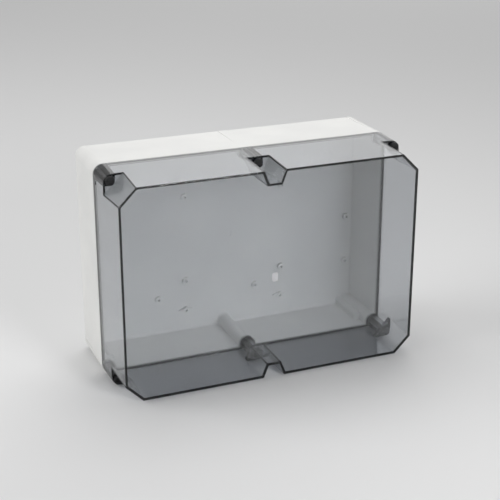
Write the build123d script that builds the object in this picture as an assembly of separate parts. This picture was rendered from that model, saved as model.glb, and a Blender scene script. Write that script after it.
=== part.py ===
from build123d import *
from math import atan2, degrees
import os

# Wall enclosure of moulded polycarbonate: a light grey base, a deep clear lid with a foamed seal, and six
# captive quarter-turn lid screws that reach through tubes in the lid into keyholes in the base.
# Millimetres. X runs to the right, Y to the back (the wall side), Z up. The origin is the middle of the
# footprint, on the surface that the long lower side stands on.

# Overall sizes
WIDTH = 360.0
HEIGHT = 254.0
BASE_DEPTH = 78.0
LID_DEPTH = 87.0
WALL = 3.0
CORNER_RADIUS = 12.0
BACK_EDGE_RADIUS = 3.0
FLOOR_EDGE_CHAMFER = 1.5

# Lid form
LID_FRONT_INSET = 2.9
FLANGE_DEPTH = 36.0
POCKET_LEG = 25.5
NOTCH_MOUTH = 27.5
NOTCH_BOTTOM = 13.5
NOTCH_DEPTH = 17.5
FRONT_EDGE_RADIUS = 1.0
DIMPLE_DIAMETER = 4.4
DIMPLE_DEPTH = 1.8
DIMPLE_SETBACK = 8.5
DIMPLE_DROP = 18.5

# Rim and seal
RIM_WIDTH = 4.8
BASE_RIM_DEPTH = 5.0
LID_RIM_DEPTH = 5.0
RIM_SKIN = 0.8
GROOVE_WIDTH = 2.2
GROOVE_DEPTH = 3.6
TONGUE_WIDTH = 1.0
TONGUE_HEIGHT = 1.6
SEAL_GAP = 0.3

# Screw columns and wall-fixing sleeves of the base
COLUMN_WALL = 3.0
LOBE_MARGIN = 0.8
LEDGE_THICKNESS = 3.5
SLEEVE_OFFSET = 9.5
SLEEVE_HOLE = 5.3
SLEEVE_WALL = 2.2
SLEEVE_SETBACK = 20.0
SLEEVE_MEMBRANE = 0.8

# Lid screws
SCREW_INSET = 8.5
HEAD_DIAMETER = 10.4
HEAD_HEIGHT = 4.2
HEAD_CHAMFER = 0.8
DRIVE_SLOT_WIDTH = 1.6
DRIVE_SLOT_DEPTH = 2.0
SHANK_DIAMETER = 7.0
NECK_DIAMETER = 4.4
BAR_WIDTH = 2.2
BAR_HEIGHT = 3.0
COLLAR_DIAMETER = 7.9
COLLAR_LENGTH = 1.6
TUBE_WALL = 2.4
RUNNING_CLEARANCE = 0.05
SEAT_CLEARANCE = 0.1
SLOT_CLEARANCE = 0.35
BORE_CLEARANCE = 0.4

# Relief panels on the outside of the base
PANEL_RELIEF = 0.9
PANEL_EDGE = 13.0
PANEL_MID_STRIP = 10.0
PANEL_FRONT_LAND = 16.0

# Bosses on the back wall, placed by their distance from its middle and from the bottom
BOSS_DIAMETER = 8.5
BOSS_HOLE = 2.8
BOSS_HEIGHT = 4.0
BOSS_PLACES = [(-50.4, 177.7), (77.2, 177.7), (-50.4, 69.0), (77.2, 69.0), (41.5, 49.2), (-86.5, 49.2)]
SIDE_BOSS_INSET = 12.5
SIDE_BOSS_HEIGHTS = [63.4, 123.7]
WING_SPAN = 18.0
WING_WIDTH = 5.0
WING_HEIGHT = 2.5
WINGED_PLACES = [(-51.0, 29.8), (75.9, 29.8)]
EJECTOR_MARK_DIAMETER = 12.5
EJECTOR_MARK_DEPTH = 0.4
EJECTOR_MARK_PLACES = [(126.1, 28.5), (-115.0, 28.5), (4.8, 124.0), (85.0, 13.0)]

# Planes and centres that follow from the sizes above
DEPTH = BASE_DEPTH + LID_DEPTH
BACK = DEPTH / 2
PARTING = BACK - BASE_DEPTH
FRONT = PARTING - LID_DEPTH
POCKET_FLOOR = PARTING - FLANGE_DEPTH
BACK_WALL_FACE = BACK - WALL
LEFT = -WIDTH / 2
RIGHT = WIDTH / 2
MIDDLE = HEIGHT / 2

SCREW_COLUMNS = {"left": LEFT + SCREW_INSET, "mid": 0.0, "right": RIGHT - SCREW_INSET}
SCREW_ROWS = {"bottom": SCREW_INSET, "top": HEIGHT - SCREW_INSET}
SCREW_PLACES = {
    f"{row}_{column}": (x, z)
    for row, z in SCREW_ROWS.items()
    for column, x in SCREW_COLUMNS.items()
}
MID_PLACES = [place for name, place in SCREW_PLACES.items() if name.endswith("mid")]
CORNER_SIGNS = [(-1, -1), (1, -1), (-1, 1), (1, 1)]

SHANK_BORE = SHANK_DIAMETER + 2 * RUNNING_CLEARANCE
TUBE_BORE = COLLAR_DIAMETER + 2 * BORE_CLEARANCE
TUBE_DIAMETER = TUBE_BORE + 2 * TUBE_WALL
COLUMN_BORE = SHANK_DIAMETER + 4 * BORE_CLEARANCE
COLUMN_RADIUS = COLUMN_BORE / 2 + COLUMN_WALL
LOBE_RADIUS = SHANK_DIAMETER / 2 + SLOT_CLEARANCE + LOBE_MARGIN + RIM_WIDTH
SLEEVE_DIAMETER = SLEEVE_HOLE + 2 * SLEEVE_WALL
SLEEVE_PLACES = [
    (x - SLEEVE_OFFSET * (1 if x > 0 else -1), z)
    for x in (SCREW_COLUMNS["left"], SCREW_COLUMNS["right"])
    for z in SCREW_ROWS.values()
]
LID_DRAFT = degrees(atan2(LID_FRONT_INSET, LID_DEPTH))


def prism(profile, back, front):
    """Solid with one outline, drawn as seen from the front, between two depths."""
    return extrude(Plane.XZ.offset(-back) * profile, amount=back - front)


def disc(place, diameter):
    """Round outline at an (x, z) place."""
    return Pos(*place) * Circle(diameter / 2)


def corner_place(inset, sign):
    """Point inset by the same distance from the two sides that meet at a corner."""
    return (sign[0] * (WIDTH / 2 - inset), MIDDLE + sign[1] * (HEIGHT / 2 - inset))


def inset_rectangle(inset):
    """Front-view rectangle that lies inside the outline by a given distance."""
    return Pos(0, MIDDLE) * Rectangle(WIDTH - 2 * inset, HEIGHT - 2 * inset)


def corner_columns(radius):
    """Outlines of the four corner columns, filled out to the walls and rounded towards the inside."""
    outline = Sketch()
    side = 2 * (SCREW_INSET + radius)
    for sign in CORNER_SIGNS:
        outline += Pos(*corner_place(0, sign)) * RectangleRounded(side, side, radius)
    return outline


def mid_columns(radius):
    """Outlines of the two half-round columns at the middle of the long sides."""
    outline = Sketch()
    for x, z in MID_PLACES:
        edge = 0.0 if z < MIDDLE else HEIGHT
        web = Pos(x, (z + edge) / 2) * Rectangle(2 * radius, abs(z - edge))
        outline += web + disc((x, z), 2 * radius)
    return outline


def clear_of_columns(inset, radius):
    """Inset rectangle with the six screw columns, of a given radius, left out of it."""
    return inset_rectangle(inset) - corner_columns(radius) - mid_columns(radius)


def mouth():
    """Opening inside the rim, which the seal runs round."""
    return clear_of_columns(RIM_WIDTH, LOBE_RADIUS)


def seal_band(inner, outer):
    """Band that follows the mouth between two distances outside it."""
    return offset(mouth(), outer) - offset(mouth(), inner)


def seal_run(width):
    """Band of a given width along the middle of the rim."""
    return seal_band((RIM_WIDTH - width) / 2, (RIM_WIDTH + width) / 2)


def keyhole():
    """Round hole with two slots that lets the cross bar of a lid screw through."""
    slot = Rectangle(SHANK_DIAMETER + 2 * SLOT_CLEARANCE, BAR_WIDTH + 2 * SLOT_CLEARANCE)
    return Circle(NECK_DIAMETER / 2 + SLOT_CLEARANCE) + slot


def relief_wedge(length):
    """Thin wedge that is deepest at the back of the base and runs out towards the rim, laid along X."""
    run = BASE_DEPTH - PANEL_FRONT_LAND
    profile = Polygon((0, 0), (run, 0), (run, -PANEL_RELIEF), align=None)
    wedge = extrude(Plane.YZ * profile, amount=length / 2, both=True)
    return Pos(0, PARTING + PANEL_FRONT_LAND, 0) * wedge


def relief_panels():
    """Shallow panels that leave the corners, the middle strips and the rim standing."""
    long_panel = (WIDTH - 2 * PANEL_EDGE - PANEL_MID_STRIP) / 2
    long_centre = (PANEL_MID_STRIP + long_panel) / 2
    panels = []
    for side in (-1, 1):
        panels.append(Pos(side * long_centre, 0, HEIGHT) * relief_wedge(long_panel))
        panels.append(Pos(side * long_centre, 0, 0) * Rot(0, 180, 0) * relief_wedge(long_panel))
        short_panel = relief_wedge(HEIGHT - 2 * PANEL_EDGE)
        panels.append(Pos(side * WIDTH / 2, 0, MIDDLE) * Rot(0, side * 90, 0) * short_panel)
    return panels


def sleeve_outlines(diameter):
    """Outlines of the wall-fixing sleeves, joined to the long wall beside them."""
    outline = Sketch()
    for x, z in SLEEVE_PLACES:
        edge = 0.0 if z < MIDDLE else HEIGHT
        outline += disc((x, z), diameter) + Pos(x, (z + edge) / 2) * Rectangle(diameter, abs(z - edge))
    return outline


def back_wall_details():
    """Bosses, two of them winged, that stand on the inside of the back wall."""
    details = []
    side_bosses = [(RIGHT - SIDE_BOSS_INSET, z) for z in SIDE_BOSS_HEIGHTS]
    for place in BOSS_PLACES + side_bosses + WINGED_PLACES:
        boss = disc(place, BOSS_DIAMETER) - disc(place, BOSS_HOLE)
        details.append(prism(boss, BACK_WALL_FACE, BACK_WALL_FACE - BOSS_HEIGHT))
    for place in WINGED_PLACES:
        wings = Pos(*place) * Ellipse(WING_SPAN / 2, WING_WIDTH / 2) - disc(place, BOSS_HOLE)
        details.append(prism(wings, BACK_WALL_FACE, BACK_WALL_FACE - WING_HEIGHT))
    return details


def base_shell():
    """Open box with screw columns, a thick rim, a tongue for the seal and keyholes for the screws."""
    outline = Pos(0, MIDDLE) * RectangleRounded(WIDTH, HEIGHT, CORNER_RADIUS)
    body = prism(outline, BACK, PARTING)
    body = fillet(body.faces().sort_by(Axis.Y)[-1].edges(), BACK_EDGE_RADIUS)
    hollow = clear_of_columns(WALL, COLUMN_RADIUS)
    cavity = prism(hollow, BACK_WALL_FACE, PARTING + BASE_RIM_DEPTH)
    cavity = chamfer(cavity.faces().sort_by(Axis.Y)[-1].edges(), FLOOR_EDGE_CHAMFER)
    cavity -= prism(sleeve_outlines(SLEEVE_DIAMETER), BACK, PARTING + SLEEVE_SETBACK)
    body -= cavity
    body -= prism(mouth(), PARTING + BASE_RIM_DEPTH, PARTING)
    for panel in relief_panels():
        body -= panel
    for place in SCREW_PLACES.values():
        body -= prism(Pos(*place) * keyhole(), PARTING + LEDGE_THICKNESS, PARTING)
        body -= prism(disc(place, COLUMN_BORE), BACK, PARTING + LEDGE_THICKNESS)
    for place in SLEEVE_PLACES:
        body -= prism(disc(place, SLEEVE_HOLE), BACK, PARTING + SLEEVE_SETBACK + SLEEVE_MEMBRANE)
    for place in EJECTOR_MARK_PLACES:
        body -= prism(disc(place, EJECTOR_MARK_DIAMETER), BACK_WALL_FACE + EJECTOR_MARK_DEPTH, BACK_WALL_FACE)
    body += prism(seal_run(TONGUE_WIDTH), PARTING, PARTING - TONGUE_HEIGHT)
    for detail in back_wall_details():
        body += detail
    return body


def lid_block(inset, rear, front):
    """Lid form that tapers towards the front, drawn in on all sides by an inset."""
    outline = RectangleRounded(WIDTH - 2 * inset, HEIGHT - 2 * inset, CORNER_RADIUS - inset)
    section = Plane.XZ.offset(-rear) * (Pos(0, MIDDLE) * outline)
    return extrude(section, amount=rear - front, taper=LID_DRAFT)


def pocket_outlines(grow):
    """Corner triangles and middle trapezoids cut from the lid, grown by a wall where it is wanted."""
    outlines = []
    for side, level in CORNER_SIGNS:
        corner = (side * WIDTH / 2, MIDDLE + level * HEIGHT / 2)
        along = (corner[0] - side * POCKET_LEG, corner[1])
        down = (corner[0], corner[1] - level * POCKET_LEG)
        outlines.append(make_face(Polyline(corner, along, down, close=True)))
    for level in (-1, 1):
        edge = MIDDLE + level * HEIGHT / 2
        bottom = edge - level * NOTCH_DEPTH
        mouth_half = NOTCH_MOUTH / 2
        bottom_half = NOTCH_BOTTOM / 2
        corners = ((-mouth_half, edge), (mouth_half, edge), (bottom_half, bottom), (-bottom_half, bottom))
        outlines.append(make_face(Polyline(*corners, close=True)))
    if grow:
        outlines = [offset(outline, grow, kind=Kind.INTERSECTION) for outline in outlines]
    return outlines


def lid_shell():
    """Deep tapered cover with screw pockets, screw tubes and a grooved rim for the seal."""
    body = lid_block(0, PARTING, FRONT)
    for outline in pocket_outlines(0):
        body -= prism(outline, POCKET_FLOOR, FRONT)
    body = fillet(body.faces().sort_by(Axis.Y)[0].edges(), FRONT_EDGE_RADIUS)
    hollow = lid_block(WALL, PARTING, FRONT + WALL)
    for outline in pocket_outlines(WALL):
        hollow -= prism(outline, POCKET_FLOOR + WALL, FRONT)
    tubes = corner_columns(TUBE_DIAMETER / 2) + mid_columns(TUBE_DIAMETER / 2)
    hollow -= prism(tubes, PARTING, POCKET_FLOOR)
    rim = seal_band(0, RIM_WIDTH - RIM_SKIN)
    hollow -= prism(rim, PARTING, PARTING - LID_RIM_DEPTH)
    body -= hollow
    body -= prism(seal_run(GROOVE_WIDTH), PARTING, PARTING - GROOVE_DEPTH)
    for place in SCREW_PLACES.values():
        body -= prism(disc(place, TUBE_BORE), PARTING, POCKET_FLOOR + WALL)
        body -= prism(disc(place, SHANK_BORE), POCKET_FLOOR + WALL, POCKET_FLOOR)
    dimple = Cylinder(DIMPLE_DIAMETER / 2, 2 * DIMPLE_DEPTH, rotation=(0, 90, 0))
    body -= Pos(LEFT, PARTING - DIMPLE_SETBACK, HEIGHT - DIMPLE_DROP) * dimple
    return body


def lid_gasket():
    """Foamed seal bonded into the bottom of the lid's groove."""
    return prism(seal_run(GROOVE_WIDTH), PARTING - TONGUE_HEIGHT - SEAL_GAP, PARTING - GROOVE_DEPTH)


def lid_screw(place):
    """Slotted head, shank with a snap-in collar, and a cross bar on a slim neck, at an (x, z) place."""
    seat = POCKET_FLOOR - SEAT_CLEARANCE
    top = seat - HEAD_HEIGHT
    collar_middle = POCKET_FLOOR + WALL + SEAT_CLEARANCE + COLLAR_LENGTH / 2
    ledge_back = PARTING + LEDGE_THICKNESS + SLOT_CLEARANCE
    head = prism(disc(place, HEAD_DIAMETER), seat, top)
    head = chamfer(head.faces().sort_by(Axis.Y)[0].edges(), HEAD_CHAMFER)
    drive = Pos(*place) * Rectangle(HEAD_DIAMETER, DRIVE_SLOT_WIDTH)
    screw = head - prism(drive, top + DRIVE_SLOT_DEPTH, top)
    screw += prism(disc(place, SHANK_DIAMETER), PARTING - SEAT_CLEARANCE, seat)
    collar = Cone(SHANK_DIAMETER / 2, COLLAR_DIAMETER / 2, COLLAR_LENGTH, rotation=(90, 0, 0))
    screw += Pos(place[0], collar_middle, place[1]) * collar
    screw += prism(disc(place, NECK_DIAMETER), ledge_back, PARTING - SEAT_CLEARANCE)
    bar = Rectangle(SHANK_DIAMETER, BAR_WIDTH) & Circle(SHANK_DIAMETER / 2)
    screw += prism(Pos(*place) * bar, ledge_back + BAR_HEIGHT, ledge_back)
    return screw


os.makedirs("parts", exist_ok=True)
export_step(base_shell(), "parts/base_shell.step")
export_step(lid_shell(), "parts/lid_shell.step")
export_step(lid_gasket(), "parts/lid_gasket.step")
for name, place in SCREW_PLACES.items():
    export_step(lid_screw(place), f"parts/lid_screw_{name}.step")
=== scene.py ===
import math

import bpy
import numpy as np
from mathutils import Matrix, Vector


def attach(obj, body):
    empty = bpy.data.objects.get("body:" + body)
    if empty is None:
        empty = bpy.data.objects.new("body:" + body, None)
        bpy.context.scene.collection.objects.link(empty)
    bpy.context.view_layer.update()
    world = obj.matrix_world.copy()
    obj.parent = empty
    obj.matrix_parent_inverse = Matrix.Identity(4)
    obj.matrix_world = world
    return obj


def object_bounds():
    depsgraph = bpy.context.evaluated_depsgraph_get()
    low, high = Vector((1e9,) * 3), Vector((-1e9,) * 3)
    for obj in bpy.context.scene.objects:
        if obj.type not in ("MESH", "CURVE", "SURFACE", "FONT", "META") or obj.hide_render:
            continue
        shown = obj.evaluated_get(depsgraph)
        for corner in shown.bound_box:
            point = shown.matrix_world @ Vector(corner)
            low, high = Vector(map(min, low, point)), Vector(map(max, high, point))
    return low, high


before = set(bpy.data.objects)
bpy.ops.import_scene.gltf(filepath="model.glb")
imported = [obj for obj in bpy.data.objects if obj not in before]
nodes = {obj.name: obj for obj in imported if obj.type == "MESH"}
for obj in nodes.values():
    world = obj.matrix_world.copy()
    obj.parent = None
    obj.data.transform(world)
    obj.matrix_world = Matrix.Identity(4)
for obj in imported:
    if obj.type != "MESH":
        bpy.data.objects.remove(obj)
cad_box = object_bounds()
scene = bpy.context.scene


# The base is one injection moulding of polycarbonate, coloured light grey right through.
# Its mould is finely spark-eroded, so the skin is satin, with a faint cloudiness and a fine grain.
BASE_GREY = (0.80, 0.80, 0.78, 1.0)
BASE_SHADE = (0.75, 0.75, 0.735, 1.0)
BASE_CLOUD = 14.0
BASE_GRAIN = 2600.0
BASE_ROUGHNESS = (0.44, 0.56)
BASE_RELIEF = (0.12, 0.00008)
PLASTIC_INDEX = 1.55
CLOUD_DETAIL = 3.0
CLOUD_EDGES = (0.35, 0.65)
GRAIN_DETAIL = 2.0


def new_material(name):
    """Empty node material, given with its node tree and its output node."""
    material = bpy.data.materials.new(name)
    material.use_nodes = True
    tree = material.node_tree
    tree.nodes.clear()
    return material, tree, tree.nodes.new("ShaderNodeOutputMaterial")


def add_noise(tree, scale, detail):
    """Noise on Object coordinates, in features per metre."""
    place = tree.nodes.new("ShaderNodeTexCoord")
    noise = tree.nodes.new("ShaderNodeTexNoise")
    noise.inputs["Scale"].default_value = scale
    noise.inputs["Detail"].default_value = detail
    tree.links.new(place.outputs["Object"], noise.inputs["Vector"])
    return noise


def add_ramp(tree, source, positions, colours):
    """Colour ramp through two colours at two positions, driven by a socket."""
    ramp = tree.nodes.new("ShaderNodeValToRGB")
    for element, position, colour in zip(ramp.color_ramp.elements, positions, colours):
        element.position = position
        element.color = colour
    tree.links.new(source, ramp.inputs["Fac"])
    return ramp


def add_range(tree, source, low, high):
    """Maps a 0 to 1 socket onto a low to high range."""
    spread = tree.nodes.new("ShaderNodeMapRange")
    spread.inputs["To Min"].default_value = low
    spread.inputs["To Max"].default_value = high
    tree.links.new(source, spread.inputs["Value"])
    return spread


def add_bump(tree, source, strength, distance):
    """Small surface relief from a height socket, with its distance in metres."""
    bump = tree.nodes.new("ShaderNodeBump")
    bump.inputs["Strength"].default_value = strength
    bump.inputs["Distance"].default_value = distance
    tree.links.new(source, bump.inputs["Height"])
    return bump


def satin_finish(name, colours, cloud, grain, roughness, relief):
    """Satin or matt skin: two colours in soft clouds, and a fine grain in the roughness and the relief."""
    material, tree, output = new_material(name)
    shader = tree.nodes.new("ShaderNodeBsdfPrincipled")
    shader.inputs["IOR"].default_value = PLASTIC_INDEX
    clouds = add_noise(tree, cloud, CLOUD_DETAIL)
    ramp = add_ramp(tree, clouds.outputs["Fac"], CLOUD_EDGES, colours)
    fine = add_noise(tree, grain, GRAIN_DETAIL)
    rough = add_range(tree, fine.outputs["Fac"], *roughness)
    bump = add_bump(tree, fine.outputs["Fac"], *relief)
    tree.links.new(ramp.outputs["Color"], shader.inputs["Base Color"])
    tree.links.new(rough.outputs["Result"], shader.inputs["Roughness"])
    tree.links.new(bump.outputs["Normal"], shader.inputs["Normal"])
    tree.links.new(shader.outputs["BSDF"], output.inputs["Surface"])
    return material


def finish_node(name, material):
    """Gives a node of the model its finish."""
    mesh = nodes[name].data
    mesh.materials.clear()
    mesh.materials.append(material)


finish_node("base_shell", satin_finish(
    "grey_polycarbonate", (BASE_SHADE, BASE_GREY), BASE_CLOUD, BASE_GRAIN, BASE_ROUGHNESS, BASE_RELIEF))


# The lid is one deep moulding of clear polycarbonate with a grey smoke tint, polished inside and out, with
# faint flow waves and wipe marks. Light that runs along inside the wall is swallowed by the tint, so the
# edges and corners look nearly black.
SMOKE_INDEX = 1.585
SMOKE_CLEAR = (1.0, 1.0, 1.0, 1.0)
SMOKE_TINT = (0.45, 0.48, 0.52, 1.0)
SMOKE_DENSITY = 165.0
SMOKE_FILM = (0.50, 0.51, 0.53, 1.0)
SMOKE_WIPES = 240.0
SMOKE_WIPE_DETAIL = 3.0
SMOKE_HAZE = (0.0, 0.035)
SMOKE_WAVES = 16.0
SMOKE_WAVE_DETAIL = 1.0
SMOKE_RELIEF = (0.06, 0.001)


def smoke_clear(name):
    """Clear plastic with absorption inside the wall, faint flow waves, and shadows that let light through."""
    material, tree, output = new_material(name)
    shader = tree.nodes.new("ShaderNodeBsdfPrincipled")
    shader.inputs["Base Color"].default_value = SMOKE_CLEAR
    shader.inputs["IOR"].default_value = SMOKE_INDEX
    shader.inputs["Transmission Weight"].default_value = 1.0
    wipes = add_noise(tree, SMOKE_WIPES, SMOKE_WIPE_DETAIL)
    haze = add_range(tree, wipes.outputs["Fac"], *SMOKE_HAZE)
    tree.links.new(haze.outputs["Result"], shader.inputs["Roughness"])
    flow = add_noise(tree, SMOKE_WAVES, SMOKE_WAVE_DETAIL)
    waves = add_bump(tree, flow.outputs["Fac"], *SMOKE_RELIEF)
    tree.links.new(waves.outputs["Normal"], shader.inputs["Normal"])
    film = tree.nodes.new("ShaderNodeBsdfTransparent")
    film.inputs["Color"].default_value = SMOKE_FILM
    path = tree.nodes.new("ShaderNodeLightPath")
    mix = tree.nodes.new("ShaderNodeMixShader")
    tree.links.new(path.outputs["Is Shadow Ray"], mix.inputs["Fac"])
    tree.links.new(shader.outputs["BSDF"], mix.inputs[1])
    tree.links.new(film.outputs["BSDF"], mix.inputs[2])
    tree.links.new(mix.outputs["Shader"], output.inputs["Surface"])
    inside = tree.nodes.new("ShaderNodeVolumeAbsorption")
    inside.inputs["Color"].default_value = SMOKE_TINT
    inside.inputs["Density"].default_value = SMOKE_DENSITY
    tree.links.new(inside.outputs["Volume"], output.inputs["Volume"])
    return material


finish_node("lid_shell", smoke_clear("smoke_polycarbonate"))


# The seal is an endless bead of polyurethane foam in the groove of the lid's rim.
# It is foamed in place, dark grey and matt, with fine pores.
SEAL_DARK = (0.06, 0.06, 0.062, 1.0)
SEAL_LIGHT = (0.11, 0.11, 0.112, 1.0)
SEAL_CLOUD = 60.0
SEAL_PORES = 3500.0
SEAL_ROUGHNESS = (0.75, 0.95)
SEAL_RELIEF = (0.5, 0.0003)

finish_node("lid_gasket", satin_finish(
    "seal_foam", (SEAL_DARK, SEAL_LIGHT), SEAL_CLOUD, SEAL_PORES, SEAL_ROUGHNESS, SEAL_RELIEF))


# The six lid screws are moulded in black glass-filled polyamide, with slotted heads and a slight sheen.
# They sit captive in tubes of the lid and lock in the base with a quarter turn.
SCREW_DARK = (0.010, 0.010, 0.011, 1.0)
SCREW_LIGHT = (0.022, 0.022, 0.023, 1.0)
SCREW_CLOUD = 90.0
SCREW_GRAIN = 3000.0
SCREW_ROUGHNESS = (0.34, 0.5)
SCREW_RELIEF = (0.2, 0.0001)
SCREW_SHEEN = 0.25

screw_black = satin_finish(
    "black_polyamide", (SCREW_DARK, SCREW_LIGHT), SCREW_CLOUD, SCREW_GRAIN, SCREW_ROUGHNESS, SCREW_RELIEF)
screw_black.node_tree.nodes["Principled BSDF"].inputs["Specular IOR Level"].default_value = SCREW_SHEEN
for node_name in nodes:
    if node_name.startswith("lid_screw_"):
        finish_node(node_name, screw_black)


# A small blank label of matt pale paper is stuck on the middle of the lid's front.
# It is cut with slightly rounded corners, and it comes off with the lid.
LABEL_SIZE = (0.0068, 0.0100)
LABEL_THICKNESS = 0.00012
LABEL_CORNER = 0.0008
LABEL_CORNER_POINTS = 5
LABEL_PALE = (0.56, 0.56, 0.575, 1.0)
LABEL_SHADE = (0.51, 0.51, 0.52, 1.0)
LABEL_CLOUD = 120.0
LABEL_FIBRES = 5000.0
LABEL_ROUGHNESS = (0.6, 0.75)
LABEL_RELIEF = (0.1, 0.00004)


def rounded_plate(name, centre, size, corner, y_back, y_front, corner_points):
    """Closed plate: quarter arcs about the four corner centres, x = centre + half + corner * cos(turn) and
    z likewise with sin(turn), joined by straight sides, set at two depths and capped at both."""
    turn = np.linspace(0.0, math.pi / 2, corner_points)
    quarter = (np.arange(4)[:, None] * math.pi / 2 + turn[None, :]).ravel()
    lean = np.repeat(np.arange(4) * math.pi / 2 + math.pi / 4, corner_points)
    half = np.array(size) / 2 - corner
    x = centre[0] + np.sign(np.cos(lean)) * half[0] + corner * np.cos(quarter)
    z = centre[1] + np.sign(np.sin(lean)) * half[1] + corner * np.sin(quarter)
    count = x.size
    front = np.column_stack((x, np.full(count, y_front), z))
    back = np.column_stack((x, np.full(count, y_back), z))
    this = np.arange(count)
    after = np.roll(this, -1)
    sides = np.column_stack((this, this + count, after + count, after))
    faces = [list(this), list(this[::-1] + count)] + sides.tolist()
    mesh = bpy.data.meshes.new(name)
    mesh.from_pydata(np.vstack((front, back)).tolist(), [], faces)
    mesh.update()
    plate = bpy.data.objects.new(name, mesh)
    scene.collection.objects.link(plate)
    return plate


lid_front = cad_box[0].y
label_centre = ((cad_box[0].x + cad_box[1].x) / 2, (cad_box[0].z + cad_box[1].z) / 2)
label = rounded_plate("blank_label", label_centre, LABEL_SIZE, LABEL_CORNER,
                      lid_front, lid_front - LABEL_THICKNESS, LABEL_CORNER_POINTS)
label.data.materials.append(satin_finish(
    "label_paper", (LABEL_SHADE, LABEL_PALE), LABEL_CLOUD, LABEL_FIBRES, LABEL_ROUGHNESS, LABEL_RELIEF))
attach(label, "lid")


# Plain pale studio: a flat matt floor far larger than the object, and four soft lamps, one in front on the
# right, one on the left, one large one far behind and one above. The even pale surround looks a little
# brighter, to the eye and in reflections, than the light it gives.
FLOOR_PALE = (0.78, 0.78, 0.78, 1.0)
FLOOR_HALF = 14.0
LAMPS = {
    "key_lamp": {
        "place": (0.4, -1.75, 0.75), "target": (0.0, 0.0, 0.12), "size": 0.5, "watts": 5.6, "beam": 110.0},
    "side_lamp": {
        "place": (-2.7, 0.7, 1.7), "target": (0.0, 0.0, 0.12), "size": 2.6, "watts": 50.0, "beam": 180.0},
    "back_lamp": {
        "place": (2.1, 3.0, 2.2), "target": (0.0, 0.0, 0.2), "size": 4.0, "watts": 42.0, "beam": 180.0},
    "top_lamp": {
        "place": (0.1, 0.3, 1.6), "target": (0.0, 0.05, 0.2), "size": 0.9, "watts": 7.0, "beam": 180.0},
}
SURROUND = (0.9, 0.9, 0.9, 1.0)
SURROUND_LIGHT = 0.30
SURROUND_SEEN = 0.58


def studio_floor():
    """Flat square of floor at the height that the object stands on."""
    reach = FLOOR_HALF
    corners = [(-reach, -reach, 0), (reach, -reach, 0), (reach, reach, 0), (-reach, reach, 0)]
    mesh = bpy.data.meshes.new("studio_floor")
    mesh.from_pydata(corners, [], [(0, 1, 2, 3)])
    floor = bpy.data.objects.new("studio_floor", mesh)
    scene.collection.objects.link(floor)
    material, tree, output = new_material("floor_pale")
    shader = tree.nodes.new("ShaderNodeBsdfPrincipled")
    shader.inputs["Base Color"].default_value = FLOOR_PALE
    shader.inputs["Roughness"].default_value = 1.0
    shader.inputs["Specular IOR Level"].default_value = 0.0
    tree.links.new(shader.outputs["BSDF"], output.inputs["Surface"])
    mesh.materials.append(material)


def soft_lamp(name, place, target, size, watts, beam):
    """Square area lamp turned towards a point, with the full angle of its beam in degrees."""
    data = bpy.data.lights.new(name, "AREA")
    data.shape = "SQUARE"
    data.size = size
    data.energy = watts
    data.spread = math.radians(beam)
    lamp = bpy.data.objects.new(name, data)
    scene.collection.objects.link(lamp)
    lamp.location = place
    lamp.rotation_euler = (Vector(target) - Vector(place)).to_track_quat("-Z", "Y").to_euler()


def larger_of(tree, first, second):
    """The larger of two sockets."""
    larger = tree.nodes.new("ShaderNodeMath")
    larger.operation = "MAXIMUM"
    tree.links.new(first, larger.inputs[0])
    tree.links.new(second, larger.inputs[1])
    return larger.outputs["Value"]


def pale_surround():
    """Even surround with one level for the light it gives and one for seen, mirrored and transmitted rays."""
    world = bpy.data.worlds.new("surround")
    world.use_nodes = True
    tree = world.node_tree
    light = tree.nodes["Background"]
    light.inputs["Color"].default_value = SURROUND
    light.inputs["Strength"].default_value = SURROUND_LIGHT
    seen = tree.nodes.new("ShaderNodeBackground")
    seen.inputs["Color"].default_value = SURROUND
    seen.inputs["Strength"].default_value = SURROUND_SEEN
    rays = tree.nodes.new("ShaderNodeLightPath")
    mirrored = larger_of(tree, rays.outputs["Is Camera Ray"], rays.outputs["Is Glossy Ray"])
    visible = larger_of(tree, mirrored, rays.outputs["Is Transmission Ray"])
    choice = tree.nodes.new("ShaderNodeMixShader")
    tree.links.new(visible, choice.inputs["Fac"])
    tree.links.new(light.outputs["Background"], choice.inputs[1])
    tree.links.new(seen.outputs["Background"], choice.inputs[2])
    tree.links.new(choice.outputs["Shader"], tree.nodes["World Output"].inputs["Surface"])
    scene.world = world


studio_floor()
for lamp_name, lamp_values in LAMPS.items():
    soft_lamp(lamp_name, **lamp_values)
pale_surround()


# The camera looks down from a little above and to the left of the front, through a long lens.
# Colours are shown plainly, with no film look.
CAMERA_AZIMUTH = -22.34
CAMERA_ELEVATION = 21.14
CAMERA_PLACE = (-0.49409, -1.21104, 0.63534)
CAMERA_LENS = 85.99
CAMERA_SENSOR = 36.0

azimuth = math.radians(CAMERA_AZIMUTH)
elevation = math.radians(CAMERA_ELEVATION)
towards = Vector((-math.sin(azimuth) * math.cos(elevation), math.cos(azimuth) * math.cos(elevation),
                  -math.sin(elevation)))
camera_data = bpy.data.cameras.new("camera")
camera_data.lens = CAMERA_LENS
camera_data.sensor_width = CAMERA_SENSOR
camera = bpy.data.objects.new("camera", camera_data)
scene.collection.objects.link(camera)
camera.location = CAMERA_PLACE
camera.rotation_euler = towards.to_track_quat("-Z", "Y").to_euler()
scene.camera = camera
scene.view_settings.view_transform = "Standard"
